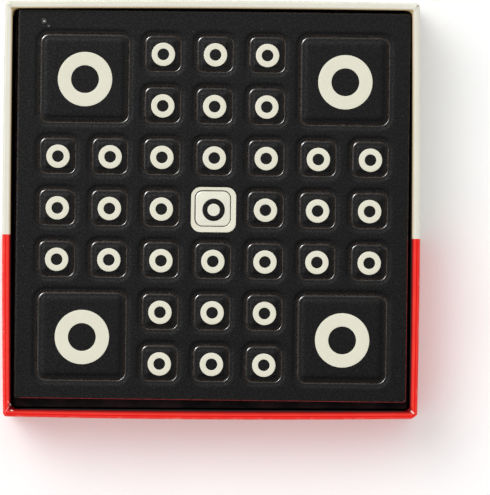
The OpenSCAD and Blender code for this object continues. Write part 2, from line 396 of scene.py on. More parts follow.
bm = bmesh.new()
marks = ("rub_and_reflection", "inside", "shade_band")
rub_and_reflection_layer, inside_layer, shade_band_layer = (bm.verts.layers.float.new(mark) for mark in marks)
outer_path = wrap_path()
section = outer_path + paper_back(outer_path)[::-1]
rings = []
for way, height in section:
    ring = wall_ring(way, max(wrap_corner(way, height), 0.1), height)
    rings.append([(x, y, z + mitre_lift(x, y, z) + rim_ripple(x, y, z)) for x, y, z in ring])
rings = [[(x, y, min(z, BOX_TOP)) for x, y, z in ring] for ring in rings]
for (way, height), ring in zip(section, add_rings(bm, rings, closed=True)):
    # On the outer fold the pale mark is partly wear and partly a painted reflection of the table.
    fold_rub_and_reflection = math.exp(-((way - 0.3) / 0.35) ** 2 - ((height - RIM_TOP + 0.3) / 0.35) ** 2)
    at_base = math.exp(-(way / 0.3) ** 2 - (height / 0.4) ** 2)
    above_base = height > TURN_IN_LOW - 1
    # Painted shade: a band on top of the rim, just in from the outer fold.
    near_shade_band = math.exp(-((way - SHADE_BAND_IN) / 0.22) ** 2) * (height > RIM_TOP - 0.6)
    for vert in ring:
        x, y = abs(vert.co.x / MM) - BOX_X / 2, abs(vert.co.y / MM) - BOX_Y / 2
        on_corner = math.exp(-((x + 1 + CORNER_IN) ** 2 + (y + 1 + CORNER_IN) ** 2) / 1.2) * (way < 1.2)
        vert[rub_and_reflection_layer] = max(fold_rub_and_reflection, at_base, on_corner)
        start = FRONT_INSIDE_FROM if vert.co.y / MM < 5 - BOX_Y / 2 else INSIDE_FROM
        vert[inside_layer] = min(max((way - start) / (WALL_T - start), 0), 1) * above_base
        vert[shade_band_layer] = near_shade_band
wrap_mesh = bm


def build_tooth():
    """The faint cloudiness and tooth of printed paper under its film."""
    put_out = {"Cloud": "NodeSocketFloat", "Height": "NodeSocketFloat"}
    group, _, result = shader_group("paper_tooth", {}, put_out)
    group.links.new(spread(group, grain(group, 7, 4), 0.3, 0.7), result["Cloud"])
    height = weighted(group, grain(group, 0.13, 3), 0.5, grain(group, 0.6, 4, stretch=(1, 1.8, 1)))
    group.links.new(height, result["Height"])
    return group


def build_rubbed_and_reflecting():
    """Where handling has taken the print off a fold, by how far out the fold stands. On the outer fold
    of the rim the same pale mark also stands for a painted reflection of the table.
    """
    group, given, result = shader_group("rubbed_and_reflecting", {"Rub and reflection": 0.0}, {"Bare": "NodeSocketFloat"})
    patchy = weighted(group, grain(group, 3.5, 3), 0.6, grain(group, 0.25, 4))
    worn_and_reflecting = maths(group, "MULTIPLY", spread(group, patchy, 0.52, 0.64), given["Rub and reflection"])
    group.links.new(worn_and_reflecting, result["Bare"])
    return group


paper_tooth = build_tooth()
rubbed_and_reflecting = build_rubbed_and_reflecting()


def wrap_material(name, ink, deep_ink, bare, wear_and_reflection, shaded, shade_band_colour, roughness, film_weight):
    material, tree, shader = new_material(name, roughness)
    tooth = use_group(tree, paper_tooth)
    rub_and_reflection_share = add_node(tree, "ShaderNodeAttribute", attribute_name="rub_and_reflection").outputs["Fac"]
    worn_and_reflecting = maths(tree, "MULTIPLY", use_group(tree, rubbed_and_reflecting, {"Rub and reflection": rub_and_reflection_share})["Bare"], wear_and_reflection)
    inside = add_node(tree, "ShaderNodeAttribute", attribute_name="inside").outputs["Fac"]
    shade_band = add_node(tree, "ShaderNodeAttribute", attribute_name="shade_band").outputs["Fac"]
    colour = mixed(tree, spread(tree, inside, 0.0, 1.0), mixed(tree, tooth["Cloud"], deep_ink, ink), shaded)
    # Painted shade: that band on top of the rim takes a darker colour.
    colour = mixed(tree, spread(tree, shade_band, 0.1, 0.9, 0.0, 0.8), colour, shade_band_colour)
    # Where the print is gone the pale paper shows; on the outer fold this is partly painted reflection.
    tree.links.new(mixed(tree, worn_and_reflecting, colour, bare), shader["Base Color"])
    film = spread(tree, tooth["Cloud"], 0.0, 1.0, roughness - 0.04, roughness + 0.04)
    dull = add_node(tree, "ShaderNodeMapRange", {"Value": worn_and_reflecting, "To Min": film, "To Max": 0.85}).outputs[0]
    tree.links.new(dull, shader["Roughness"])
    in_shade = maths(tree, "MAXIMUM", inside, shade_band)
    tree.links.new(spread(tree, in_shade, 0.0, 0.6, film_weight, 0.0), shader["Coat Weight"])
    shader["Coat Roughness"].default_value = roughness
    shader["Specular IOR Level"].default_value = 0.05
    relief(tree, shader, tooth["Height"], 0.02)
    return material


def from_spot(group, given):
    """How far a point lies to the right of the given X and behind the given Y, and its height."""
    where = add_node(group, "ShaderNodeTexCoord").outputs["Object"]
    point = add_node(group, "ShaderNodeSeparateXYZ", {0: where}).outputs
    across = maths(group, "SUBTRACT", maths(group, "DIVIDE", point["X"], MM), given["X"])
    along = maths(group, "SUBTRACT", maths(group, "DIVIDE", point["Y"], MM), given["Y"])
    return across, along, point["Z"]


def distance(group, across, along):
    squares = [maths(group, "MULTIPLY", way, way) for way in (across, along)]
    return maths(group, "SQRT", maths(group, "ADD", *squares))


def build_streak():
    """A slim lens-shaped mark on top of the rim. Its middle and half sizes are in millimetres."""
    given = {"X": 0.0, "Y": 0.0, "Turn": 0.0, "Half long": 1.0, "Half wide": 0.1}
    group, given, result = shader_group("streak", given, {"Mark": "NodeSocketFloat"})
    across, along, height = from_spot(group, given)
    cosine, sine = maths(group, "COSINE", given["Turn"]), maths(group, "SINE", given["Turn"])
    across_cosine, across_sine = (maths(group, "MULTIPLY", across, part) for part in (cosine, sine))
    along_cosine, along_sine = (maths(group, "MULTIPLY", along, part) for part in (cosine, sine))
    length = maths(group, "DIVIDE", maths(group, "ADD", across_cosine, along_sine), given["Half long"])
    width = maths(group, "DIVIDE", maths(group, "SUBTRACT", along_cosine, across_sine), given["Half wide"])
    mark = spread(group, distance(group, length, width), 0.6, 1.2, 1.0, 0.0)
    at_rim = spread(group, height, (RIM_TOP - 4) * MM, (RIM_TOP - 3) * MM)
    group.links.new(maths(group, "MULTIPLY", mark, at_rim), result["Mark"])
    return group


streak = build_streak()


def paint_over(material, mark, colour):
    """Lays a colour over what the material shows already, where the mark is."""
    tree = material.node_tree
    base = tree.nodes["Principled BSDF"].inputs["Base Color"]
    tree.links.new(mixed(tree, mark, base.links[0].from_socket, colour), base)


def mark_corner(material, side, depth, colour, marks):
    """Marks at one corner: way in from its side and its end, turn, half length, half width, strength."""
    tree = material.node_tree
    corner_x, corner_y = BOX_X / 2 - CORNER_IN, BOX_Y / 2 - CORNER_IN
    for from_side, from_end, turn, half_long, half_wide, strength in marks:
        spot = {"X": side * (corner_x - from_side), "Y": depth * (corner_y - from_end)}
        size = {"Turn": math.radians(turn), "Half long": half_long, "Half wide": half_wide}
        mark = maths(tree, "MULTIPLY", use_group(tree, streak, spot | size)["Mark"], strength)
        paint_over(material, mark, colour)


def wrap_half(name, front, material):
    """One printed part of the wrap, cut straight at the colour line and closed there."""
    half = wrap_mesh.copy()
    whole = half.verts[:] + half.edges[:] + half.faces[:]
    backward = (-math.sin(COLOUR_TURN), math.cos(COLOUR_TURN), 0)
    bmesh.ops.bisect_plane(half, geom=whole, plane_co=(0, COLOUR_LINE * MM, 0), plane_no=backward,
                           clear_outer=front, clear_inner=not front)
    bmesh.ops.holes_fill(half, edges=[edge for edge in half.edges if edge.is_boundary])
    return finish_mesh(name, half, material)


cream_paper = wrap_material(
    "cream_wrap", ink=(0.725, 0.715, 0.625, 1), deep_ink=(0.695, 0.685, 0.595, 1), bare=(0.80, 0.79, 0.73, 1),
    wear_and_reflection=0.4, shaded=(0.50, 0.37, 0.20, 1), shade_band_colour=(0.68, 0.66, 0.55, 1), roughness=0.40,
    film_weight=1.0)
red_paper = wrap_material(
    "red_wrap", ink=(0.87, 0.030, 0.015, 1), deep_ink=(0.83, 0.020, 0.012, 1), bare=(0.86, 0.42, 0.36, 1),
    wear_and_reflection=0.45, shaded=(0.16, 0.001, 0.003, 1), shade_band_colour=(0.66, 0.003, 0.006, 1), roughness=0.34,
    film_weight=0.7)
CRACKS_AND_GLINTS = (0.95, 0.78, 0.72, 1)
OPEN_MITRE = (0.20, 0.16, 0.12, 1)
SHADE_ON_WEB = (0.50, 0.38, 0.22, 1)
# Front corners: the front right mark and the second front left mark are painted glints of the lamp, the first
# front left mark is a crack along the mitre, and the other two are pale spots.
mark_corner(red_paper, 1, -1, CRACKS_AND_GLINTS, [(1.85, 2.5, -40, 0.9, 0.32, 0.8)])
mark_corner(red_paper, -1, -1, CRACKS_AND_GLINTS, [
    (1.65, 2.77, 58, 1.7, 0.1, 0.4),
    (3.3, 2.3, -12, 0.6, 0.2, 0.85),
    (2.0, 5.35, -60, 0.4, 0.14, 0.5),
    (2.85, 4.3, -55, 0.6, 0.22, 0.7),
])
mark_corner(cream_paper, 1, 1, OPEN_MITRE, [
    (0.85, 1.2, 55, 0.55, 0.2, 0.9),
    (1.75, 2.55, 56, 1.2, 0.11, 0.6),
])
# Painted shade: tan marks on the cream paper turned in at the back corners, and along the inner edge of the
# left wall near the back left corner.
mark_corner(cream_paper, 1, 1, SHADE_ON_WEB, [(2.6, 3.4, 55, 0.8, 0.3, 0.7)])
mark_corner(cream_paper, -1, 1, SHADE_ON_WEB, [
    (2.6, 3.0, -30, 0.95, 0.55, 0.75),
    (2.5, 6.5, 90, 5.0, 0.4, 0.6),
])
place(wrap_half("wrap_cream_paper", False, cream_paper), "box", "cream_wrap", "wrap_cream")
place(wrap_half("wrap_red_paper", True, red_paper), "box", "red_wrap", "wrap_red")
wrap_mesh.free()


# ------------------------------------------------------------------------------------------------
# Black papers. One sheet pasted over the middle of the underside, one round the inside of the
# walls a little below the rim, and one on the floor. Plain uncoated paper, dyed black.
# ------------------------------------------------------------------------------------------------
LINING_BOW = 0.1
BASE_IN = HEM_IN + 0.4
BASE_CORNER = 0.4
LINING_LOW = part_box("wall_lining")[0].z / MM


def black_paper_material(name, dark, light, roughness, tooth_mm=0.04):
    material, tree, shader = new_material(name, roughness)
    tooth = use_group(tree, paper_tooth)
    dust = spread(tree, grain(tree, 0.8, 2), 0.70, 0.76)
    tree.links.new(mixed(tree, tooth["Cloud"], dark, light), shader["Base Color"])
    tree.links.new(spread(tree, dust, 0.0, 1.0, roughness, roughness + 0.1), shader["Roughness"])
    shader["Specular IOR Level"].default_value = 0.2
    relief(tree, shader, tooth["Height"], tooth_mm)
    return material


PAPER_BLACK = (0.007, 0.0065, 0.007, 1)
PAPER_DEEP_BLACK = (0.0045, 0.0042, 0.0045, 1)
black_paper = black_paper_material("black_paper", PAPER_DEEP_BLACK, PAPER_BLACK, 0.85)

bm = bmesh.new()
add_rings(bm, [
    wall_ring(BASE_IN, BASE_CORNER, PAPER_T),
    wall_ring(BASE_IN, BASE_CORNER, 0.04),
    wall_ring(BASE_IN + 0.1, BASE_CORNER, 0.01),
], capped=True)
place(finish_mesh("base_paper", bm, black_paper), "box", "black_paper", "base_sheet")

bm = bmesh.new()
add_rings(bm, [
    wall_ring(WALL_T, LINED_CORNER, LINING_LOW, LINING_BOW),
    wall_ring(WALL_T, LINED_CORNER, LINING_TOP, LINING_BOW),
    wall_ring(WALL_T + PAPER_T, LINED_CORNER - PAPER_T, LINING_TOP - 0.03, LINING_BOW),
    wall_ring(WALL_T + PAPER_T, LINED_CORNER - PAPER_T, LINING_LOW, LINING_BOW),
], closed=True)
place(finish_mesh("wall_paper", bm, black_paper), "box", "black_paper", "wall_lining")


def refinish(cad_node, material):
    """Keeps the CAD solid, whose shape is right, and gives it its real finish."""
    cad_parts[cad_node].data.materials.clear()
    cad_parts[cad_node].data.materials.append(material)


refinish("floor_lining", black_paper)


# ------------------------------------------------------------------------------------------------
# Riser. One piece of black card creased and folded down on four sides, open underneath. It lies
# loose on the floor of the box and holds the board up near the rim.
# ------------------------------------------------------------------------------------------------
RISER_GAP = 0.5
RISER_IN = WALL_T + PAPER_T + RISER_GAP
CARD_T = 1.5
CARD_FOLD = 0.8
INNER_FOLD = 0.3
RISER_LOW, RISER_TOP = (corner.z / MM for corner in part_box("board_riser"))


def card_ring(inset, radius, z):
    return wall_ring(inset, radius, z, LINING_BOW)


CARD_BLACK = (0.036, 0.016, 0.018, 1)
CARD_DEEP_BLACK = (0.008, 0.006, 0.006, 1)
black_card = black_paper_material("black_card", CARD_DEEP_BLACK, CARD_BLACK, 0.6, 0.15)
bm = bmesh.new()
add_rings(bm, [
    card_ring(RISER_IN + CARD_T, INNER_FOLD, RISER_TOP - CARD_T),
    card_ring(RISER_IN + CARD_T, INNER_FOLD, RISER_LOW),
    card_ring(RISER_IN, CARD_FOLD, RISER_LOW),
    card_ring(RISER_IN, CARD_FOLD, RISER_TOP - CARD_FOLD),
    card_ring(RISER_IN + 0.3 * CARD_FOLD, CARD_FOLD, RISER_TOP - 0.3 * CARD_FOLD),
    card_ring(RISER_IN + CARD_FOLD, INNER_FOLD, RISER_TOP),
], capped=True)
place(finish_mesh("riser_card", bm, black_card), "box", "black_card", "board_riser")


# ------------------------------------------------------------------------------------------------
# Playing board. A greyboard face layer with a black film, die-cut for 33 small wells and 4 large
# ones, on a greyboard backing with black paper behind. The die rolls the film down and pales it at
# each cut and leaves a ragged line of bare board. Along the front edges that bare board is painted
# red, for light thrown on it by the red wrap; along the left and back edges less of it shows, as
# painted shade for the wall's shadow.
# ------------------------------------------------------------------------------------------------
FACE_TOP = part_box("board_face")[1].z / MM
WELL_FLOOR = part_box("board_face")[0].z / MM
BOARD_HALF = Vector((70.4, 69.85))
BOARD_CORNER = 1.2
PITCH = Vector((18.7, 18.52))
PLACES_SHIFT = Vector((0.15, -0.95))
ROWS = 7
LARGE_STEPS = 2.5
WELL_SIDE = 13
WELL_CORNER = 2.8
LARGE_WELL_CORNER = 3.3
LARGE_WIDER = 0.3
CUT_ROLL = 0.35
CUT_DROP = 0.2
OUTER_EDGE_ROLL = 0.5
OUTER_EDGE_DROP = 0.4
LAND_SINK = 0.15
LAND_SLOPE_AT = 1.3
SLOPE_HALF = 0.3
LAND_EDGE_DROP = 0.01
CELL_SIDE = 16
WELL_CORNER_STEPS = 5
LARGE_CORNER_STEPS = 8
FAR_FROM_CUT = 5
OUTER_WEAR_FROM = -0.16
SHADED_SIDE_NARROWING = 0.12
RED_BOUNCE_SHARE = 0.9

row_start, row_end = (sum(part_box(tile), Vector()) / 2 for tile in ("tile_row4_col1", "tile_row4_col7"))
BOARD_TURN = math.atan2(row_end.y - row_start.y, row_end.x - row_start.x)
board_middle = sum(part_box("board_face"), Vector()) / 2
on_board = Matrix.Translation((board_middle.x / MM, board_middle.y / MM, 0))
on_board @= Matrix.Rotation(BOARD_TURN, 4, "Z")
MIDDLE = (ROWS + 1) // 2
small_places = [(row, col) for row in range(1, ROWS + 1) for col in range(1, ROWS + 1)
                if abs(row - MIDDLE) <= 1 or abs(col - MIDDLE) <= 1]
large_places = {"back_left": (-1, 1), "back_right": (1, 1), "front_left": (-1, -1), "front_right": (1, -1)}


def small_at(row, col):
    return PLACES_SHIFT + Vector(((col - MIDDLE) * PITCH.x, (MIDDLE - row) * PITCH.y))


def large_at(side, depth):
    return PLACES_SHIFT + Vector((side * LARGE_STEPS * PITCH.x, depth * LARGE_STEPS * PITCH.y))


def even_loop(half_x, half_y, radius, side, corner):
    """A rectangle like round_loop's, with its points evenly spaced along the straight sides."""
    points = round_loop(half_x, half_y, radius, side, corner)
    straight = side - 2 * corner
    for quarter in range(4):
        start = quarter * side + corner
        first, last = Vector(points[start]), Vector(points[(start + straight) % len(points)])
        for i in range(straight):
            points[start + i] = tuple(first.lerp(last, i / straight))
    return points


def square_loop(half_x, half_y, side):
    """A square-cornered rectangle whose points go round as even_loop's do."""
    turns = ((1, -1), (1, 1), (-1, 1), (-1, -1))
    corners = [Vector((half_x * across, half_y * deep)) for across, deep in turns]
    sides = zip(corners, corners[1:] + corners[:1])
    return [tuple(start.lerp(end, i / side)) for start, end in sides for i in range(side)]


def rolled_drop(from_edge, width, drop):
    """How far a die-rolled edge lies below the flat, a given way in from the cut."""
    share = max(0.0, 1 - from_edge / width)
    return drop * (1 - math.sqrt(max(0.0, 1 - share ** 2)))


def pressed_drop(from_cut, slope_at, depth):
    """How far the die's rubber presses the film down beside a cut: a shallow step a little way off."""
    return depth / (1 + math.exp((from_cut - slope_at) / SLOPE_HALF))


def land_height(from_cut):
    drop = rolled_drop(from_cut, CUT_ROLL, CUT_DROP) + pressed_drop(from_cut, LAND_SLOPE_AT, LAND_SINK)
    return FACE_TOP - max(drop, LAND_EDGE_DROP)


def add_marked_rings(bm, layer, rings, marks, matrix, capped=False):
    """Skins loops and marks each with how far it lies from the cut edge, in millimetres."""
    made = add_rings(bm, [[matrix @ Vector(p) for p in ring] for ring in rings], capped=capped)
    for ring, mark in zip(made, marks):
        for vert in ring:
            vert[layer] = mark
    return made


def lifted(loop, z, centre):
    return [(x + centre.x, y + centre.y, z) for x, y in loop]


def add_cell(bm, layer, centre, half_well, corner, cell, side, corner_steps):
    """The land round one well: its wall, its rolled edge and the flat out to the next well's land."""
    def outline(out):
        return even_loop(half_well.x + out, half_well.y + out, corner + out, side, corner_steps)

    edge = land_height(0)
    border = square_loop(cell.x, cell.y, side)
    rings, marks = [lifted(border, WELL_FLOOR, centre)], [FAR_FROM_CUT]
    for z in (WELL_FLOOR, (WELL_FLOOR + edge) / 2, edge - 0.25, edge):
        rings.append(lifted(outline(0), z, centre))
        marks.append(z - edge)
    for out in (0.02, 0.06, 0.12, 0.2, 0.28, 0.35, 0.55, 0.75, 0.95, 1.15, 1.35, 1.6, 1.9, 2.4):
        rings.append(lifted(outline(out), land_height(out), centre))
        marks.append(out)
    rings.append(lifted(border, FACE_TOP - LAND_EDGE_DROP, centre))
    marks.append(FAR_FROM_CUT)
    add_marked_rings(bm, layer, rings, marks, on_board)


def build_laminate():
    """A satin film over board: faint clouding, orange peel and a fine tooth."""
    put_out = {"Cloud": "NodeSocketFloat", "Peel": "NodeSocketFloat", "Height": "NodeSocketFloat"}
    group, _, result = shader_group("satin_film", {}, put_out)
    group.links.new(spread(group, grain(group, 11, 4), 0.3, 0.7), result["Cloud"])
    peel = grain(group, 0.7, 3)
    group.links.new(peel, result["Peel"])
    group.links.new(weighted(group, peel, 0.6, grain(group, 0.14, 2)), result["Height"])
    return group


def build_cut_edge():
    """Bare board along a die cut: everything below the film's edge and a ragged line above it."""
    given = {"From cut": 5.0, "Width": 0.2}
    group, given, result = shader_group("cut_edge", given, {"Bare": "NodeSocketFloat"})
    ragged = weighted(group, grain(group, 2.0, 3), 0.5, grain(group, 0.3, 3))
    reach = maths(group, "MULTIPLY", spread(group, ragged, 0.3, 0.7, 0.1, 1.9), given["Width"])
    past_reach = maths(group, "SUBTRACT", reach, given["From cut"])
    group.links.new(spread(group, past_reach, -0.04, 0.04), result["Bare"])
    return group


def build_specks():
    """A few tiny pale specks of dust and lint."""
    group, _, result = shader_group("specks", {}, {"Speck": "NodeSocketFloat"})
    group.links.new(spread(group, grain(group, 0.55, 1), 0.80, 0.84), result["Speck"])
    return group


satin_film = build_laminate()
cut_edge = build_cut_edge()
specks = build_specks()


def build_scuff_and_glint():
    """One small pale mark at a spot on the film, given in millimetres, used for scrapes and a painted glint.
    """
    given = {"X": 0.0, "Y": 0.0, "Size": 0.3}
    group, given, result = shader_group("scuff_and_glint", given, {"Mark": "NodeSocketFloat"})
    across, along, _ = from_spot(group, given)
    rough_edge = spread(group, grain(group, 0.25, 3), 0.35, 0.6, 0.5, 3)
    away = maths(group, "MULTIPLY", distance(group, across, along), rough_edge)
    away = maths(group, "DIVIDE", away, given["Size"])
    group.links.new(spread(group, away, 0.8, 1.2, 1.0, 0.0), result["Mark"])
    return group


def laminate_material(name, ink, deep_ink, bare_width, roughness, dusty, stress):
    material, tree, shader = new_material(name, roughness)
    film = use_group(tree, satin_film)
    from_cut = add_node(tree, "ShaderNodeAttribute", attribute_name="from_cut").outputs["Fac"]
    bare = use_group(tree, cut_edge, {"From cut": from_cut, "Width": bare_width})["Bare"]
    core = use_group(tree, pulp, {"Light": CORE_LIGHT, "Dark": CORE_DARK, "Flecks": 0.6})
    red_bounce = add_node(tree, "ShaderNodeAttribute", attribute_name="red_bounce").outputs["Fac"]
    # Painted reflection: a red tint on the bare board, for light thrown on it by the red wrap.
    core_colour = mixed(tree, red_bounce, core["Colour"], PAINTED_RED_BOUNCE)
    printed = mixed(tree, film["Cloud"], deep_ink, ink)
    speck = maths(tree, "MULTIPLY", use_group(tree, specks)["Speck"], dusty)
    printed = mixed(tree, speck, printed, DUST)
    stretched = spread(tree, from_cut, 0.35, 0.75, 1.0, 0.0)
    printed = mixed(tree, maths(tree, "MULTIPLY", stretched, stress), printed, STRETCHED_FILM)
    tree.links.new(mixed(tree, bare, printed, core_colour), shader["Base Color"])
    satin = spread(tree, film["Peel"], 0.3, 0.7, roughness - 0.05, roughness + 0.07)
    dull = add_node(tree, "ShaderNodeMapRange", {"Value": bare, "To Min": satin, "To Max": 0.9}).outputs[0]
    tree.links.new(dull, shader["Roughness"])
    heights = {"Value": bare, "To Min": film["Height"], "To Max": core["Height"]}
    relief(tree, shader, add_node(tree, "ShaderNodeMapRange", heights).outputs[0], 0.0022)
    shader["Specular IOR Level"].default_value = 0.6
    return material


CORE_LIGHT = (0.13, 0.088, 0.065, 1)
CORE_DARK = (0.04, 0.027, 0.02, 1)
BLACK = (0.0030, 0.0026, 0.0028, 1)
DEEP_BLACK = (0.0022, 0.0019, 0.0020, 1)
DUST = (0.45, 0.44, 0.42, 1)
PAINTED_RED_BOUNCE = (0.34, 0.008, 0.012, 1)
STRETCHED_FILM = (0.028, 0.023, 0.018, 1)
SCRAPE_AND_GLINT = (0.5, 0.5, 0.47, 1)
black_film = laminate_material("black_laminate", BLACK, DEEP_BLACK, 0.07, 0.24, 0.5, 0.5)
board_film = laminate_material("board_laminate", BLACK, DEEP_BLACK, 0.07, 0.24, 0.5, 0.25)
scuff_and_glint = build_scuff_and_glint()
# Two pale scrapes near the back left corner, and a painted glint of the lamp at the front right corner.
for x, y, size in ((-60.4, 67.4, 0.55), (-58.7, 65.7, 0.28), (70.2, -68.9, 0.5)):
    mark = use_group(board_film.node_tree, scuff_and_glint, {"X": x, "Y": y, "Size": size})["Mark"]
    paint_over(board_film, mark, SCRAPE_AND_GLINT)

bm = bmesh.new()
from_cut_layer, red_bounce_layer = (bm.verts.layers.float.new(mark) for mark in ("from_cut", "red_bounce"))
half_small = Vector((WELL_SIDE / 2, WELL_SIDE / 2))
half_large = PITCH / 2 + half_small + Vector((LARGE_WIDER, LARGE_WIDER)) / 2
for row, col in small_places:
    add_cell(bm, from_cut_layer, small_at(row, col), half_small, WELL_CORNER, PITCH / 2, CELL_SIDE,
             WELL_CORNER_STEPS)
for side, depth in large_places.values():
    add_cell(bm, from_cut_layer, large_at(side, depth), half_large, LARGE_WELL_CORNER, PITCH, 2 * CELL_SIDE,
             LARGE_CORNER_STEPS)
lattice = square_loop(PITCH.x * ROWS / 2, PITCH.y * ROWS / 2, ROWS * CELL_SIDE)
rings = [lifted(lattice, FACE_TOP - LAND_EDGE_DROP, PLACES_SHIFT)]
marks = [FAR_FROM_CUT]
for inward in (3.0, 1.8, 1.0, 0.6, 0.42, 0.3, 0.2, 0.12, 0.05, 0.01, 0):
    radius = max(BOARD_CORNER - inward, 0.2)
    loop = even_loop(BOARD_HALF.x - inward, BOARD_HALF.y - inward, radius, ROWS * CELL_SIDE, 4)
    height = FACE_TOP - LAND_EDGE_DROP - rolled_drop(inward, OUTER_EDGE_ROLL, OUTER_EDGE_DROP)
    rings.append(lifted(loop, height, Vector((0, 0))))
    marks.append(OUTER_WEAR_FROM + inward)
rings.append(lifted(loop, WELL_FLOOR, Vector((0, 0))))
rings.append(lifted(lattice, WELL_FLOOR, PLACES_SHIFT))
marks += [FAR_FROM_CUT, FAR_FROM_CUT]
for ring in add_marked_rings(bm, from_cut_layer, rings, marks, on_board)[1:-2]:
    for vert in ring:
        # Painted shade: on the left and back edges, in the wall's shadow, the bare line is made narrower.
        if vert.co.x / MM < 2 - BOARD_HALF.x or vert.co.y / MM > BOARD_HALF.y - 1:
            vert[from_cut_layer] += SHADED_SIDE_NARROWING
        # Painted reflection: the bare board on the front edges is tinted red, for light from the red wrap.
        elif vert.co.y / MM < COLOUR_LINE:
            vert[red_bounce_layer] = RED_BOUNCE_SHARE
bmesh.ops.remove_doubles(bm, verts=bm.verts, dist=0.001 * MM)
place(finish_mesh("board_top", bm, board_film, 60), "board", "black_laminate", "board_face")


def backing_material():
    """Raw greyboard on top, where the wells are cut down to it, and the film turned over its sides."""
    material, tree, shader = new_material("greyboard", 0.9)
    greys = {"Light": (0.30, 0.27, 0.225, 1), "Dark": (0.20, 0.175, 0.14, 1), "Flecks": 0.7}
    fibres = use_group(tree, pulp, greys)
    facing = add_node(tree, "ShaderNodeTexCoord").outputs["Normal"]
    upward = add_node(tree, "ShaderNodeSeparateXYZ", {0: facing}).outputs["Z"]
    flat = spread(tree, maths(tree, "ABSOLUTE", upward), 0.45, 0.55)
    turned_film = (0.011, 0.0105, 0.011, 1)
    tree.links.new(mixed(tree, flat, turned_film, fibres["Colour"]), shader["Base Color"])
    relief(tree, shader, fibres["Height"], 0.06)
    return material


refinish("board_backing", backing_material())
refinish("board_back_paper", black_paper)


# ------------------------------------------------------------------------------------------------
# Print on the board. One cream square with round corners round the middle well, printed on the film
# before the die cuts through it, a little out of register with the cuts.
# ------------------------------------------------------------------------------------------------
PRINT_SHIFT = Vector((0.27, -0.43))
PRINT_HALF = 8.07
PRINT_CORNER = 3.4
INK_T = 0.015


def ink_material(name, ink, deep_ink, roughness):
    material, tree, shader = new_material(name, roughness)
    film = use_group(tree, satin_film)
    tree.links.new(mixed(tree, film["Cloud"], deep_ink, ink), shader["Base Color"])
    satin = spread(tree, film["Peel"], 0.3, 0.7, roughness - 0.05, roughness + 0.07)
    tree.links.new(satin, shader["Roughness"])
    relief(tree, shader, film["Height"], 0.01)
    return material


cream_ink = ink_material("cream_ink", (0.71, 0.697, 0.567, 1), (0.69, 0.677, 0.55, 1), 0.4)
centre_well = small_at(MIDDLE, MIDDLE)


def outside_well(x, y):
    """Distance from a point to the middle well's cut edge."""
    past_x, past_y = abs(x) - half_small.x + WELL_CORNER, abs(y) - half_small.y + WELL_CORNER
    return math.hypot(max(past_x, 0), max(past_y, 0)) + min(max(past_x, past_y), 0) - WELL_CORNER


cut_line = even_loop(half_small.x, half_small.y, WELL_CORNER, CELL_SIDE, WELL_CORNER_STEPS)
print_line = [(x + PRINT_SHIFT.x, y + PRINT_SHIFT.y)
              for x, y in even_loop(PRINT_HALF, PRINT_HALF, PRINT_CORNER, CELL_SIDE, WELL_CORNER_STEPS)]
rings = []
for share in (0.02, 0.06, 0.12, 0.2, 0.3, 0.45, 0.65, 0.85, 1.0):
    loop = [Vector(a).lerp(Vector(b), share) for a, b in zip(cut_line, print_line)]
    heights = [land_height(outside_well(p.x, p.y)) + INK_T for p in loop]
    rings.append([(centre_well.x + p.x, centre_well.y + p.y, z) for p, z in zip(loop, heights)])
rings += [[(x, y, z - 2 * INK_T) for x, y, z in ring] for ring in rings[::-1]]
bm = bmesh.new()
add_rings(bm, [[on_board @ Vector(p) for p in ring] for ring in rings], closed=True)
place(finish_mesh("centre_square_print", bm, cream_ink), "board", "cream_ink")


# ------------------------------------------------------------------------------------------------
# Tiles. Each is the piece that the die punched out of its well: greyboard with the same film,
# pillowed at its edges, with a printed ring. 32 small black ones, one small cream one and four
# large black ones. Each lies in its well a little differently.
# ------------------------------------------------------------------------------------------------
TILE_GAP = 0.25
TILE_ROLL = 0.8
TILE_DROP = 0.34
TILE_SINK = 0.16
TILE_SLOPE_AT = 1.75
TILE_FOOT = 0.12
MOST_TURN = 0.35
MOST_TIP = 0.3
MOST_SHIFT = 0.06
TILE_LIFT = 0.02
SMALL_RING = (4.175, 2.1)
LARGE_RING = (9.75, 5.0)
CENTRE_RING = (4.05, 2.2)
RING_STEPS = 96
placing = random.Random(11)


def tile_height(half, corner, x, y):
    """Height of a tile's film at a point on it."""
    past_x, past_y = abs(x) - half.x + corner, abs(y) - half.y + corner
    inside = corner - math.hypot(max(past_x, 0), max(past_y, 0)) - min(max(past_x, past_y), 0)
    inside = max(inside, 0)
    pressed = pressed_drop(inside, TILE_SLOPE_AT, TILE_SINK)
    return FACE_TOP - rolled_drop(inside, TILE_ROLL, TILE_DROP) - pressed


def lie_of(at):
    """How one tile lies in its well: turned, tipped and off the middle by a hair."""
    most = (MOST_TURN, MOST_TIP, MOST_TIP)
    turn, tip_x, tip_y = (math.radians(placing.uniform(-1, 1) * limit) for limit in most)
    shift_x, shift_y = (placing.uniform(-MOST_SHIFT, MOST_SHIFT) for _ in range(2))
    shift = Vector((shift_x, shift_y, TILE_LIFT))
    lie = Matrix.Rotation(turn, 4, "Z") @ Matrix.Rotation(tip_x, 4, "X") @ Matrix.Rotation(tip_y, 4, "Y")
    ground = Matrix.Translation((0, 0, -WELL_FLOOR))
    return on_board @ Matrix.Translation(Vector((at.x, at.y, WELL_FLOOR)) + shift) @ lie @ ground


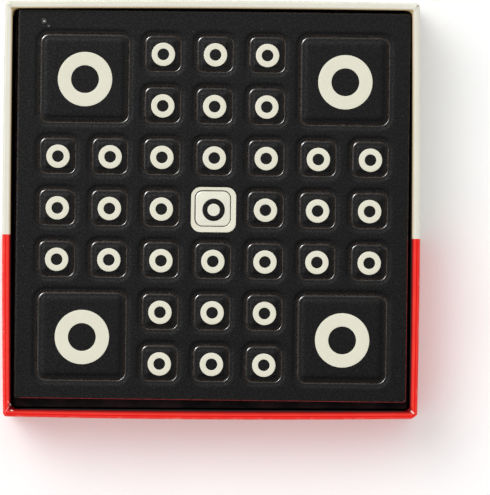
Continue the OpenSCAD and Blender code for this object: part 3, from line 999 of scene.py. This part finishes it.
def make_tile(name, half, corner, side, corner_steps, lie, material, slot):
    bm = bmesh.new()
    layer = bm.verts.layers.float.new("from_cut")
    still = Vector((0, 0))
    edge = tile_height(half, corner, half.x, 0)
    rings, marks = [], []
    upright = [(TILE_FOOT, WELL_FLOOR), (0, WELL_FLOOR + TILE_FOOT), (0, edge - 0.5), (0, edge - 0.2)]
    for inward, z in [*upright, (0, edge)]:
        loop = even_loop(half.x - inward, half.y - inward, corner - inward, side, corner_steps)
        rings.append(lifted(loop, z, still))
        marks.append(z - edge)
    for inward in (0.02, 0.06, 0.12, 0.2, 0.3, 0.4, 0.5, 0.7, 0.9, 1.1, 1.3, 1.5, 1.7, 2.0, 2.4, 3.0, 4.0):
        loop = even_loop(half.x - inward, half.y - inward, max(corner - inward, 0.25), side, corner_steps)
        rings.append([(x, y, tile_height(half, corner, x, y)) for x, y in loop])
        marks.append(inward)
    add_marked_rings(bm, layer, rings, marks, lie, capped=True)
    bm.verts.ensure_lookup_table()
    bm.verts[-2][layer] = WELL_FLOOR - edge
    bm.verts[-1][layer] = FAR_FROM_CUT
    place(finish_mesh(name + "_board", bm, material, 60), name, slot, name)


def make_ring(name, half, corner, ring, lie, material, slot):
    """The printed ring, which follows the tile's pillowed film."""
    outer, inner = ring
    bm = bmesh.new()
    loops = []
    for share in (0, 0.02, 0.25, 0.5, 0.75, 0.98, 1):
        radius = outer + (inner - outer) * share
        proud = INK_T * (0 < share < 1)
        loop = []
        for i in range(RING_STEPS):
            angle = 2 * math.pi * i / RING_STEPS
            x, y = PRINT_SHIFT.x + radius * math.cos(angle), PRINT_SHIFT.y + radius * math.sin(angle)
            loop.append((x, y, tile_height(half, corner, x, y) + proud))
        loops.append(loop)
    loops += [[(x, y, z - 2 * INK_T) for x, y, z in loop] for loop in loops[::-1]]
    add_rings(bm, [[lie @ Vector(p) for p in loop] for loop in loops], closed=True)
    place(finish_mesh(name + "_ring", bm, material, 60), name, slot)


CREAM_FILM = (0.745, 0.733, 0.62, 1)
DEEP_CREAM_FILM = (0.725, 0.713, 0.60, 1)
cream_film = laminate_material("cream_laminate", CREAM_FILM, DEEP_CREAM_FILM, 0.05, 0.30, 0.0, 0.0)
black_ink = ink_material("black_ink", BLACK, DEEP_BLACK, 0.28)
small_half = half_small - Vector((TILE_GAP, TILE_GAP))
large_half = half_large - Vector((TILE_GAP, TILE_GAP))
small_corner = WELL_CORNER - TILE_GAP
large_corner = LARGE_WELL_CORNER - TILE_GAP
TILE_SIDE, TILE_CORNER_STEPS = 20, 7
LARGE_TILE_SIDE, LARGE_TILE_CORNER_STEPS = 28, 8
for row, col in small_places:
    lie = lie_of(small_at(row, col))
    if (row, col) == (MIDDLE, MIDDLE):
        make_tile("centre_tile", small_half, small_corner, TILE_SIDE, TILE_CORNER_STEPS, lie, cream_film,
                  "cream_laminate")
        make_ring("centre_tile", small_half, small_corner, CENTRE_RING, lie, black_ink, "black_ink")
    else:
        name = f"tile_row{row}_col{col}"
        make_tile(name, small_half, small_corner, TILE_SIDE, TILE_CORNER_STEPS, lie, black_film,
                  "black_laminate")
        make_ring(name, small_half, small_corner, SMALL_RING, lie, cream_ink, "cream_ink")
for corner_name, (side, depth) in large_places.items():
    name = "large_tile_" + corner_name
    lie = lie_of(large_at(side, depth))
    make_tile(name, large_half, large_corner, LARGE_TILE_SIDE, LARGE_TILE_CORNER_STEPS, lie, black_film,
              "black_laminate")
    make_ring(name, large_half, large_corner, LARGE_RING, lie, cream_ink, "cream_ink")


# ------------------------------------------------------------------------------------------------
# Table, light and camera. A plain pale table, one large soft light from the back left, an even soft
# fill from all round, and a long lens straight above, a little to the front right of the box.
# ------------------------------------------------------------------------------------------------
TABLE_SIZE = 3.0
KEY_ELEVATION = math.radians(42)
KEY_SPREAD = math.radians(44)
KEY_SHARE = 0.25
FILL_LIGHT = 0.86
MIRRORED_LIGHT = 0.42
BRIGHT_WAY = (-0.45, 0.89, 0.0)
GLINT_SPREAD = math.radians(20)
GLINT_STRENGTH = 6.0
CAMERA_RISE = 1.4
VIEW_LONG_SIDE = 0.1774
CAMERA_X, CAMERA_Y = 0.01216, -0.013435
CAMERA_ROLL = math.radians(0.35)

bm = bmesh.new()
bmesh.ops.create_grid(bm, x_segments=4, y_segments=4, size=TABLE_SIZE / 2)
table_paint, tree, shader = new_material("table_paint", 0.6)
shade = spread(tree, grain(tree, 60, 2), 0.3, 0.7)
tree.links.new(mixed(tree, shade, (0.93, 0.93, 0.93, 1), (0.95, 0.95, 0.95, 1)), shader["Base Color"])
table = finish_mesh("table", bm, table_paint)


def add_sun(name, elevation, spread_angle, strength):
    lamp = bpy.data.lights.new(name, "SUN")
    lamp.angle = spread_angle
    lamp.energy = strength
    holder = bpy.data.objects.new(name, lamp)
    back_left = math.cos(elevation) * math.sqrt(0.5)
    toward = Vector((-back_left, back_left, math.sin(elevation)))
    holder.rotation_euler = toward.to_track_quat("Z", "Y").to_euler()
    bpy.context.scene.collection.objects.link(holder)
    return holder


add_sun("key", KEY_ELEVATION, KEY_SPREAD, math.pi * KEY_SHARE / math.sin(KEY_ELEVATION))
glint = add_sun("key_centre", KEY_ELEVATION, GLINT_SPREAD, GLINT_STRENGTH)
glint.visible_diffuse = False

world = bpy.data.worlds.new("soft_room")
world.use_nodes = True
tree = world.node_tree
fill = tree.nodes["Background"]
heading = add_node(tree, "ShaderNodeTexCoord").outputs["Generated"]
toward_bright = add_node(tree, "ShaderNodeVectorMath", {0: heading, 1: BRIGHT_WAY}, operation="DOT_PRODUCT")
mirrored = spread(tree, toward_bright.outputs["Value"], -0.40, 0.5, 0.0, MIRRORED_LIGHT)
glossy = add_node(tree, "ShaderNodeLightPath").outputs["Is Glossy Ray"]
strength = add_node(tree, "ShaderNodeMapRange", {"Value": glossy, "To Min": FILL_LIGHT, "To Max": mirrored})
tree.links.new(strength.outputs[0], fill.inputs["Strength"])
fill.inputs["Color"].default_value = (1.0, 0.995, 0.985, 1)
bpy.context.scene.world = world

lens = bpy.data.cameras.new("camera")
lens.sensor_width = 36
lens.lens = 36 * CAMERA_RISE / VIEW_LONG_SIDE
lens.clip_end = 10
camera = bpy.data.objects.new("camera", lens)
camera.location = (CAMERA_X, CAMERA_Y, BOX_TOP * MM + CAMERA_RISE)
camera.rotation_euler = (0, 0, CAMERA_ROLL)
bpy.context.scene.collection.objects.link(camera)
bpy.context.scene.camera = camera
bpy.context.scene.view_settings.view_transform = "Standard"
bpy.context.scene.view_settings.look = "None"

bpy.context.view_layer.update()
